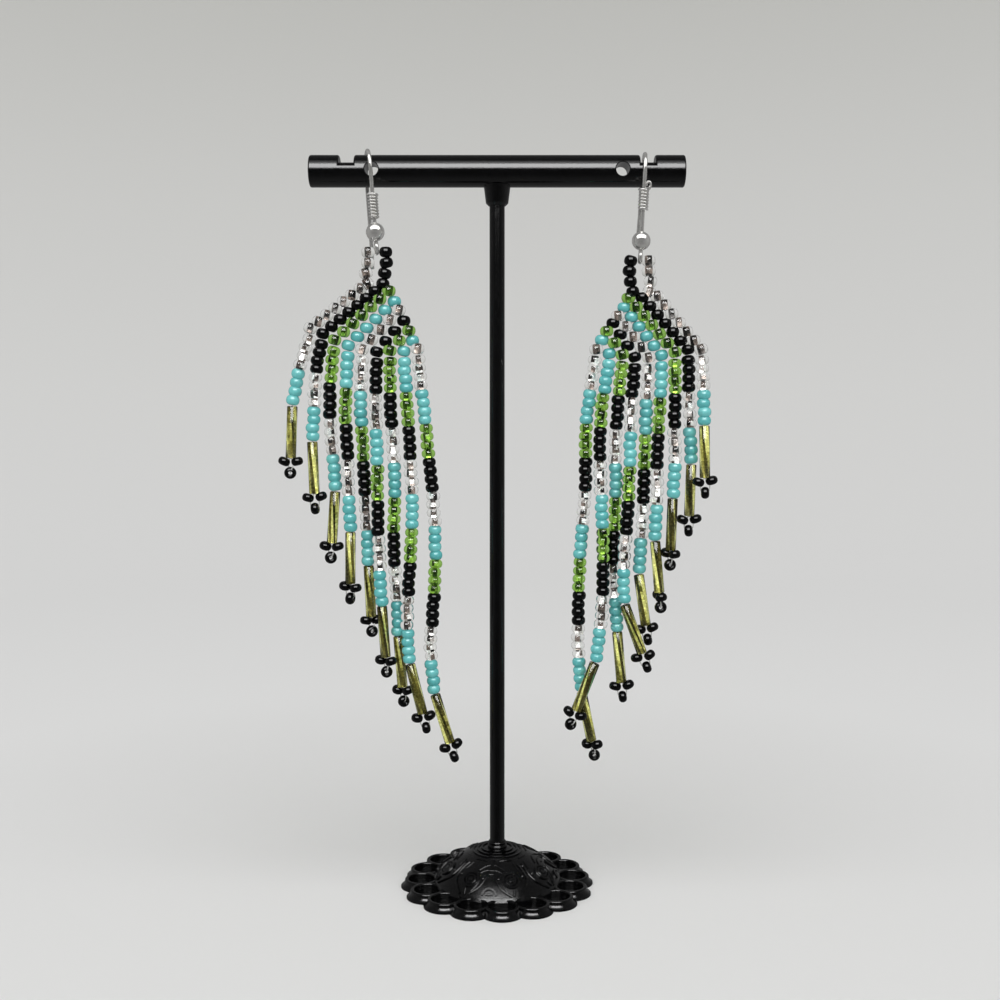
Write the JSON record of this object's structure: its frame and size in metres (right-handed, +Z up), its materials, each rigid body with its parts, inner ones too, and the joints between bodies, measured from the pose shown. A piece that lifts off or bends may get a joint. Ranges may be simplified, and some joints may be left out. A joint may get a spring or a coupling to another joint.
{
  "type": "beaded fringe earring pair on t-bar display stand",
  "caption": "Pair of seed bead fringe earrings with woven tops, bugle bead ends and wire hooks, hanging on a black T-bar stand with a domed scalloped foot.",
  "frame": {"origin": "middle of the stand's foot, on the surface it stands on", "axes": "+Z up, +X along the bar to the right as seen from the front, -Y toward the front"},
  "size_m": [0.076, 0.0346, 0.1305],
  "materials": {
    "black_paint": "glossy black paint over cast and drawn metal",
    "silver_plate": "bright silver-plated wire",
    "turquoise_glass": "opaque glossy turquoise glass bead",
    "black_glass": "opaque glossy black glass bead",
    "green_glass": "clear lime green glass bead with a silver lining",
    "clear_glass": "clear glass bead with a silver lining",
    "olive_glass": "olive green glass tube with a silver lining",
    "thread": "clear nylon beading thread"
  },
  "bodies": {
    "root": {"stand_base": "black_paint", "stand_post": "black_paint", "stand_collar": "black_paint", "stand_bar": "black_paint", "left_ear_hook": "silver_plate", "left_hook_coil": "silver_plate", "left_hook_ball": "silver_plate", "left_beaded_top": "black_glass", "left_string_1": "clear_glass", "left_bugle_1": "olive_glass", "left_string_2": "black_glass", "left_bugle_2": "olive_glass", "left_string_3": "green_glass", "left_bugle_3": "olive_glass", "left_string_4": "turquoise_glass", "left_bugle_4": "olive_glass", "left_string_5": "clear_glass", "left_bugle_5": "olive_glass", "left_string_6": "black_glass", "left_bugle_6": "olive_glass", "left_string_7": "green_glass", "left_bugle_7": "olive_glass", "left_string_8": "turquoise_glass", "left_bugle_8": "olive_glass", "left_string_9": "clear_glass", "left_bugle_9": "olive_glass", "right_ear_hook": "silver_plate", "right_hook_coil": "silver_plate", "right_hook_ball": "silver_plate", "right_beaded_top": "black_glass", "right_string_1": "clear_glass", "right_bugle_1": "olive_glass", "right_string_2": "black_glass", "right_bugle_2": "olive_glass", "right_string_3": "green_glass", "right_bugle_3": "olive_glass", "right_string_4": "turquoise_glass", "right_bugle_4": "olive_glass", "right_string_5": "clear_glass", "right_bugle_5": "olive_glass", "right_string_6": "black_glass", "right_bugle_6": "olive_glass", "right_string_7": "green_glass", "right_bugle_7": "olive_glass", "right_string_8": "turquoise_glass", "right_bugle_8": "olive_glass", "right_string_9": "clear_glass", "right_bugle_9": "olive_glass"}
  },
  "joints": []
}
